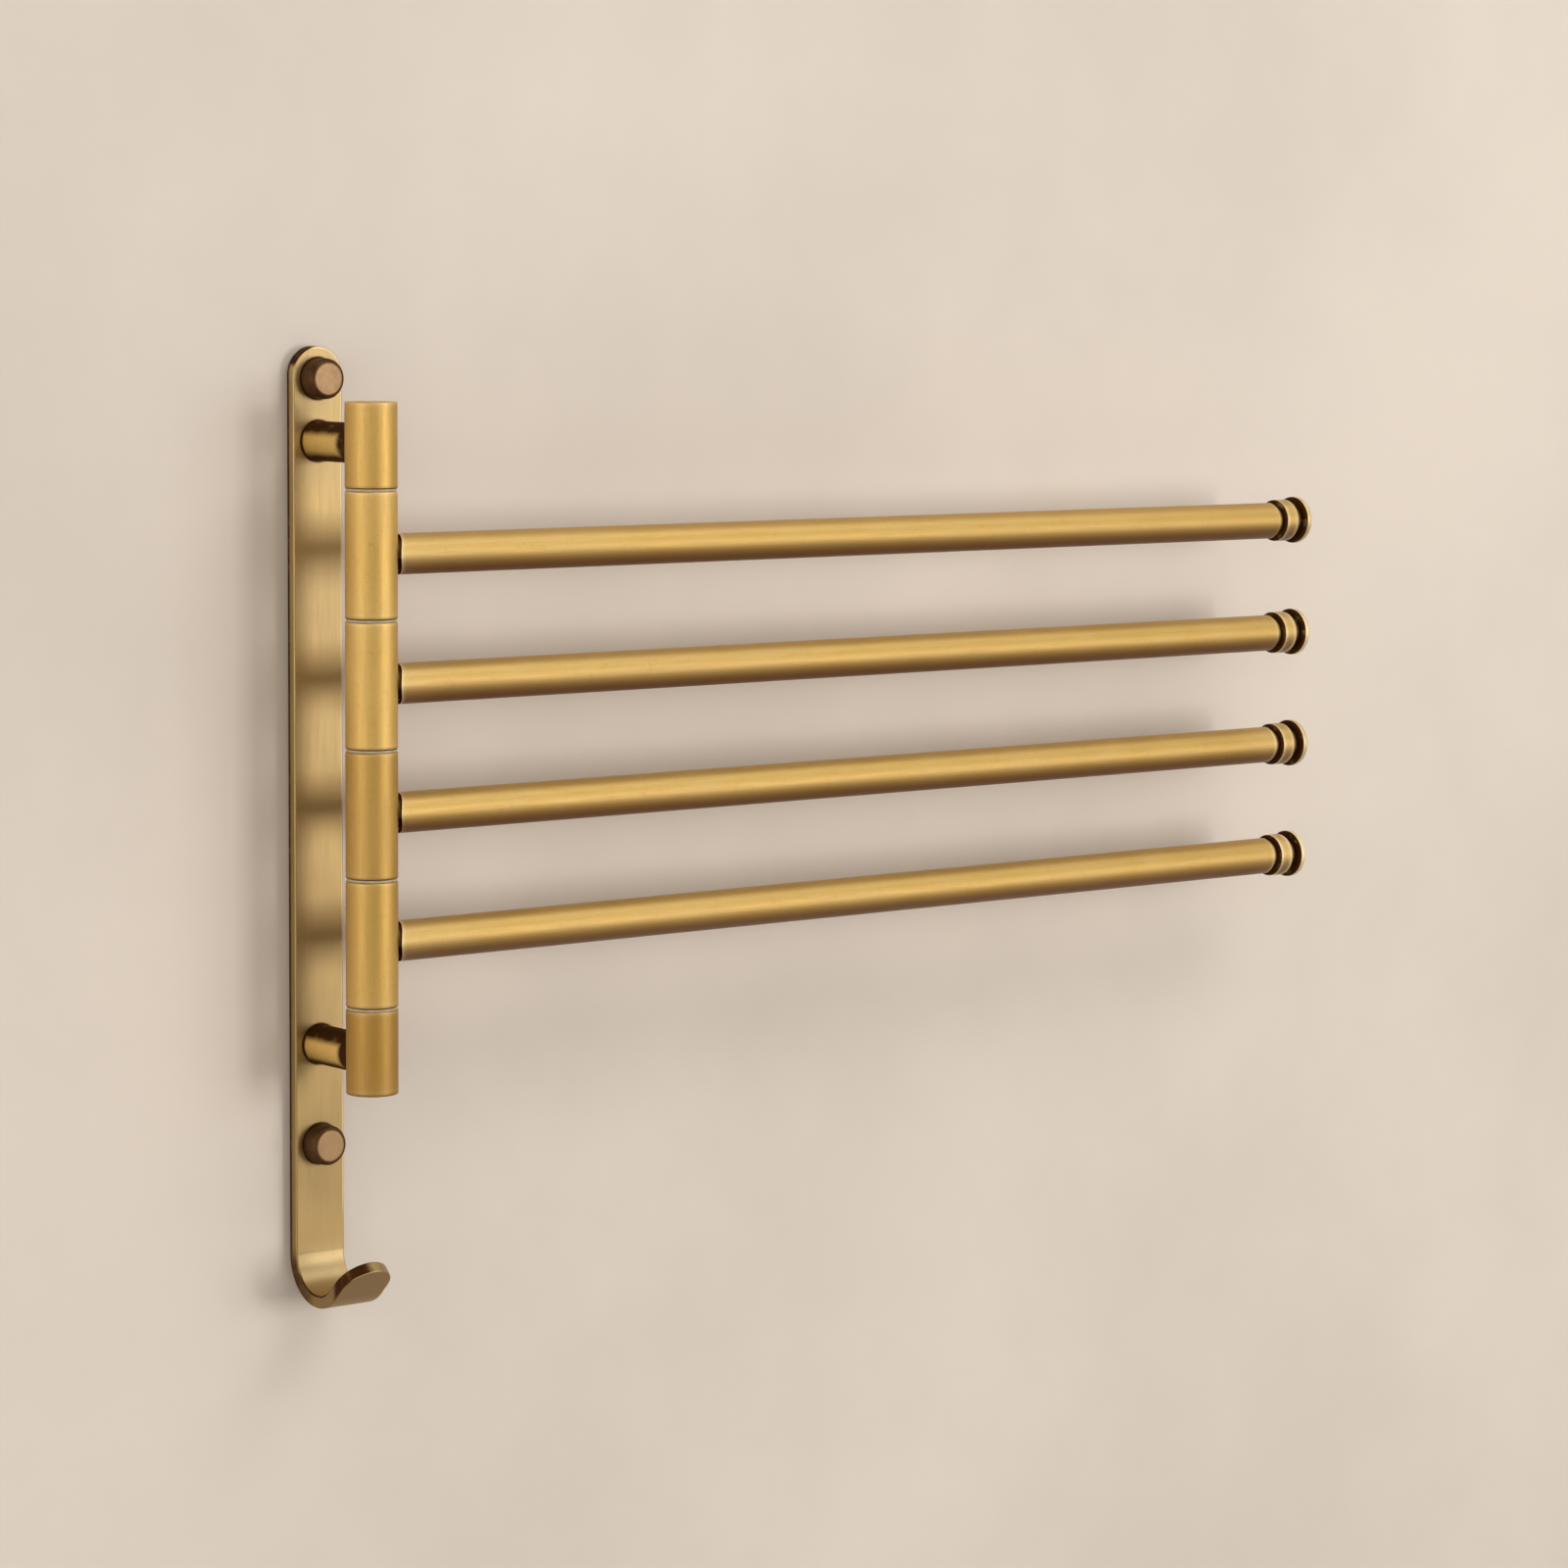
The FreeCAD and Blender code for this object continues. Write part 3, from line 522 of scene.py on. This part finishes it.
# The turned ends get very pale edges: wear and painted highlight.
turned_brass = brass_material("turned_brass", ROUNDWISE, tones=BAR_TONES, wear_and_highlight_range=(0.5, 0.9))
drawn_brass = brass_material("drawn_brass", LENGTHWISE, tones=BAR_TONES)
post_brass = brass_material("post_brass", LENGTHWISE, wear_and_highlight_range=(0.05, 0.25), back_shade_amount=0.35)
plate_brass = brass_material("plate_brass", LENGTHWISE, 0.4, plate_shade, plate_highlight,
                              plate_lower_shade, PLATE_SHADED, (PLATE, PLATE_LIGHT),
                             roughness=(0.48, 0.57))
standoff_brass = brass_material("standoff_brass", ROUNDWISE, 0.3, standoff_shade,
                                tones=(BRASS_LIGHT, STANDOFF_LIGHT))
cap_bronze = bronze_material("cap_bronze", (900, 900, 900))
nylon = nylon_material()
steel = steel_material()


# Pieces ---------------------------------------------------------------------------------

EASE = 0.45 * MM


def closed_ends(radius, length, bore, ease=EASE):
    """Profile of a plain segment with eased outer edges and a bore through it."""
    return [Corner(bore, 0), Corner(radius, 0, ease), Corner(radius, length, ease),
            Corner(bore, length)]


FOOT_SHADE_REACH = 0.6 * MM      # how far up a segment the painted shade at its lower end reaches
FOOT_SHADE = 0.15
SLEEVE_BORE = 4.05 * MM
TUBE_WALL = 1.0 * MM
CAP_WALL = 1.1 * MM
SEGMENT_AGE = {"boss_upper": 0.12, "sleeve_3": 0.42, "sleeve_4": 0.25, "boss_lower": 0.75}


def dress_post_segment(node, body, bore):
    low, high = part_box(node)
    foot = Vector((0, POST_AXIS_Y, low.z))
    corners = closed_ends(POST_RADIUS, high.z - low.z, bore)
    if bore == 0:
        corners[0] = Corner(0, 0)
    age = SEGMENT_AGE.get(node, 0.0)
    piece = turned_piece(f"{node}_turned", corners, foot, UPRIGHT, age)
    edge, groove = (piece.data.attributes[layer].data for layer in ("edge", "groove"))
    for index, vertex in enumerate(piece.data.vertices):
        # Each segment's lower end, where it sits on a washer, is painted darker and kept unworn:
        # painted shade.
        if vertex.co.z < FOOT_SHADE_REACH:
            edge[index].value, groove[index].value = 0.0, FOOT_SHADE
    dress(piece, body, node, post_brass)


def dress_washer(number):
    node = f"washer_{number}"
    low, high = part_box(node)
    radius = (high.x - low.x) / 2
    spindle_radius = (span("spindle", X)[1] - span("spindle", X)[0]) / 2
    corners = closed_ends(radius, high.z - low.z, spindle_radius, 0.15 * MM)
    piece = turned_piece(f"{node}_disc", corners, Vector((0, POST_AXIS_Y, low.z)), UPRIGHT)
    dress(piece, "base", node, nylon)


def dress_bar(number):
    """Tube whose root is hollowed to stand an even gap off the round post."""
    node = f"bar_tube_{number}"
    low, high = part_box(node)
    root_radius = math.hypot(low.x, BAR_RADIUS)
    length = high.x - root_radius
    corners = [Corner(BAR_RADIUS - TUBE_WALL, 0), Corner(BAR_RADIUS, 0, 0.2 * MM),
               Corner(BAR_RADIUS, length), Corner(BAR_RADIUS - TUBE_WALL, length)]
    foot = Vector((root_radius, POST_AXIS_Y, middle(node).z))
    piece = turned_piece(f"{node}_drawn", corners, foot, ALONG_X)
    for vertex in piece.data.vertices:
        if vertex.co.z < RING_STEP / 2:
            vertex.co.z += math.sqrt(root_radius ** 2 - vertex.co.y ** 2) - root_radius
    dress(piece, f"arm_{number}", node, drawn_brass)


def dress_end_cap(number):
    """Turned end: groove, full bead, groove and crowned rim."""
    node = f"bar_end_cap_{number}"
    low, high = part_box(node)
    start = span(f"bar_tube_{number}", X)[1]
    rim = (high.z - low.z) / 2
    crown = high.x - start
    steps = [0, 2.2, 8.6, 11.2, 14.0]
    root, bead_start, bead_end, rim_start, rim_end = (s * MM for s in steps)
    bead, groove = 7.3 * MM, 5.5 * MM
    corners = [
        Corner(0, root), Corner(groove, root),
        Corner(groove, bead_start, 0.2 * MM), Corner(bead, bead_start, 1.5 * MM),
        Corner(bead, bead_end, 1.5 * MM), Corner(groove, bead_end, 0.2 * MM),
        Corner(groove, rim_start, 0.2 * MM), Corner(rim, rim_start, 0.9 * MM),
        Corner(rim, rim_end, 0.9 * MM), Corner(6.8 * MM, rim_end, 0.2 * MM),
        Corner(6.0 * MM, crown, 0.8 * MM), Corner(0, crown),
    ]
    foot = Vector((start, POST_AXIS_Y, middle(node).z))
    piece = turned_piece(f"{node}_turned", corners, foot, ALONG_X)
    dress(piece, f"arm_{number}", node, turned_brass)


def dress_screw_cap(end):
    node = f"screw_cap_{end}"
    low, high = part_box(node)
    radius = (high.x - low.x) / 2
    height = high.y - low.y
    corners = [
        Corner(radius - CAP_WALL, 0), Corner(radius, 0, 0.15 * MM),
        Corner(radius, height, 1.6 * MM), Corner(0, height),
    ]
    centre = middle(node)
    foot = Vector((centre.x, high.y, centre.z))
    piece = turned_piece(f"{node}_turned", corners, foot, OUT_FROM_WALL)
    dress(piece, "base", node, cap_bronze)


def coat(node, material):
    """Give a CAD node that keeps its own mesh its one material."""
    slots = NODES[node].data.materials
    slots.clear()
    slots.append(material)


for number in ARMS:
    dress_post_segment(f"sleeve_{number}", f"arm_{number}", SLEEVE_BORE)
    dress_bar(number)
    dress_end_cap(number)
    coat(f"bar_stud_{number}", turned_brass)
for number in WASHERS:
    dress_washer(number)
for end in ENDS:
    dress_post_segment(f"boss_{end}", "base", 0)
    dress_screw_cap(end)
    coat(f"standoff_{end}", standoff_brass)
    for kind in ("wall_screw", "cap_seat", "standoff_screw"):
        coat(f"{kind}_{end}", steel)
coat("spindle", steel)
coat("backplate", plate_brass)


# Stage: pale wall and floor -------------------------------------------------------------

WALL_COLOUR = (0.67, 0.595, 0.52, 1.0)
FLOOR_COLOUR = (0.62, 0.58, 0.53, 1.0)
WALL_GAP = 0.8 * MM
SEE_THROUGH_REACH = 1.5 * MM


def stage_material(name, base, mottled):
    """Pale surface seen from the room side only, and clear to rays shorter than the reach."""
    material = new_material(name)
    n = Nodes(material)
    place = n.add("ShaderNodeTexCoord").outputs["Object"]
    clouds = n.noise(place, 3.2, 5.0, 0.6)
    lighter = tuple(min(1.0, c * 1.12) for c in base[:3]) + (1,)
    colour = n.blend(n.remap(clouds, 0.35, 0.7, 0.0, mottled), base, lighter)
    surface = n.add("ShaderNodeBsdfPrincipled", {"Base Color": colour, "Roughness": 0.7})
    clear = n.add("ShaderNodeBsdfTransparent")
    behind = n.add("ShaderNodeNewGeometry").outputs["Backfacing"]
    reach = n.add("ShaderNodeLightPath").outputs["Ray Length"]
    touching = n.maths("LESS_THAN", reach, SEE_THROUGH_REACH)
    hidden = n.maths("MAXIMUM", behind, touching)
    mix = n.add("ShaderNodeMixShader", {0: hidden, 1: surface.outputs[0], 2: clear.outputs[0]})
    output = n.add("ShaderNodeOutputMaterial")
    n.feed(output, "Surface", mix.outputs[0])
    return material


def stage_sheet(name, corners, material):
    mesh = bpy.data.meshes.new(name)
    mesh.from_pydata(corners, [], [(0, 1, 2, 3)])
    mesh.materials.append(material)
    sheet = bpy.data.objects.new(name, mesh)
    bpy.context.scene.collection.objects.link(sheet)
    return sheet


HALF_WIDTH, WALL_TOP, FLOOR_Z, FLOOR_FRONT = 4.0, 2.6, -1.1, -4.0
stage_sheet("wall", [(-HALF_WIDTH, WALL_GAP, FLOOR_Z), (HALF_WIDTH, WALL_GAP, FLOOR_Z),
                     (HALF_WIDTH, WALL_GAP, WALL_TOP), (-HALF_WIDTH, WALL_GAP, WALL_TOP)],
            stage_material("wall_paint", WALL_COLOUR, 1.0))
stage_sheet("floor", [(-HALF_WIDTH, FLOOR_FRONT, FLOOR_Z), (HALF_WIDTH, FLOOR_FRONT, FLOOR_Z),
                      (HALF_WIDTH, WALL_GAP, FLOOR_Z), (-HALF_WIDTH, WALL_GAP, FLOOR_Z)],
            stage_material("floor_paint", FLOOR_COLOUR, 0.5))


# Light ------------------------------------------------------------------------------------

def area_light(name, place, target, size, power, colour=(1, 1, 1)):
    data = bpy.data.lights.new(name, "AREA")
    data.shape = "RECTANGLE"
    data.size, data.size_y = size
    data.energy = power
    data.color = colour
    light = bpy.data.objects.new(name, data)
    light.location = place
    light.rotation_euler = (Vector(target) - Vector(place)).to_track_quat("-Z", "Y").to_euler()
    bpy.context.scene.collection.objects.link(light)
    return light


CENTRE = Vector((0.15, -0.03, 0.0))


def light_at(azimuth, elevation, distance):
    """A place round the part: azimuth 0 is straight out from the wall, positive to the right."""
    level = distance * math.cos(math.radians(elevation))
    turn = math.radians(azimuth)
    return CENTRE + Vector((level * math.sin(turn), -level * math.cos(turn),
                            distance * math.sin(math.radians(elevation))))


def softbox(name, place, size, radiance, colour=(1, 1, 1)):
    """Rectangular light of an even radiance, not seen by the camera itself."""
    light = area_light(name, place, CENTRE, size, radiance * math.pi * size[0] * size[1], colour)
    light.visible_camera = False
    return light


def lamp_radiance(wall_share, azimuth, elevation, distance, size):
    """Radiance at which a lamp gives the wall this share of a plain white level."""
    facing = math.cos(math.radians(azimuth)) * math.cos(math.radians(elevation))
    return wall_share * math.pi * distance ** 2 / (facing * size[0] * size[1])


def lamp(name, azimuth, elevation, distance, size, wall_share):
    radiance = lamp_radiance(wall_share, azimuth, elevation, distance, size)
    softbox(name, light_at(azimuth, elevation, distance), size, radiance, (1.0, 0.98, 0.95))


lamp("lamp_near", 21, 1, 2.4, (0.5, 0.9), 0.24)
lamp("lamp_right", 38, 2, 2.4, (0.7, 1.1), 0.11)
lamp("soft_above", 30, 52, 2.0, (1.8, 0.8), 0.21)
lamp("front_left", -42, 8, 2.2, (1.1, 1.0), 0.07)
lamp("side_left", -80, 5, 1.8, (0.6, 1.4), 0.05)

WORLD_COLOUR = (1.0, 0.975, 0.94, 1)
WORLD_LEVELS = [(0.0, 0.30), (0.12, 0.50), (0.35, 1.0), (0.75, 1.0), (0.90, 0.50), (1.0, 0.35)]


def plain_world():
    """Even room light, fainter straight above and below."""
    world = bpy.data.worlds.new("studio")
    bpy.context.scene.world = world
    n = Nodes(world)
    direction = n.add("ShaderNodeTexCoord").outputs["Generated"]
    parts = n.add("ShaderNodeSeparateXYZ", {0: direction}).outputs
    ramp = n.add("ShaderNodeValToRGB", {0: n.remap(parts[2], -1.0, 1.0)})
    ramp.inputs[0].links[0].from_node.interpolation_type = "LINEAR"
    stops = ramp.color_ramp.elements
    while len(stops) < len(WORLD_LEVELS):
        stops.new(0.5)
    for stop, (place, brightness) in zip(stops, WORLD_LEVELS):
        stop.position = place
        stop.color = (brightness, brightness, brightness, 1)
    sideways = n.remap(parts[0], -0.55, 0.35, 0.38, 0.40)
    level = n.maths("MULTIPLY", ramp.outputs[0], sideways)
    background = n.add("ShaderNodeBackground", {"Color": WORLD_COLOUR, "Strength": level})
    output = n.add("ShaderNodeOutputWorld")
    n.feed(output, "Surface", background.outputs[0])


plain_world()


# Camera at the photograph's place -------------------------------------------------------------

CAMERA_PLACE = (-0.8336, -1.2641, 0.1487)
CAMERA_YAW = math.radians(39.0)        # to the right of straight at the wall
CAMERA_PITCH = math.radians(6.10)      # downwards
CAMERA_ROLL = math.radians(0.41)
SENSOR = 36.0
FOCAL_PIXELS = 4942.0
IMAGE_WIDTH = 1600.0


def make_camera():
    data = bpy.data.cameras.new("camera")
    data.sensor_width = SENSOR
    data.lens = FOCAL_PIXELS / IMAGE_WIDTH * SENSOR
    data.clip_start, data.clip_end = 0.05, 50
    camera = bpy.data.objects.new("camera", data)
    camera.location = CAMERA_PLACE
    tilt = Matrix.Rotation(math.pi / 2 - CAMERA_PITCH, 3, "X")
    look = Matrix.Rotation(-CAMERA_YAW, 3, "Z") @ tilt
    camera.rotation_euler = (look @ Matrix.Rotation(CAMERA_ROLL, 3, "Z")).to_euler()
    bpy.context.scene.collection.objects.link(camera)
    bpy.context.scene.camera = camera


make_camera()
bpy.context.scene.view_settings.view_transform = "Standard"
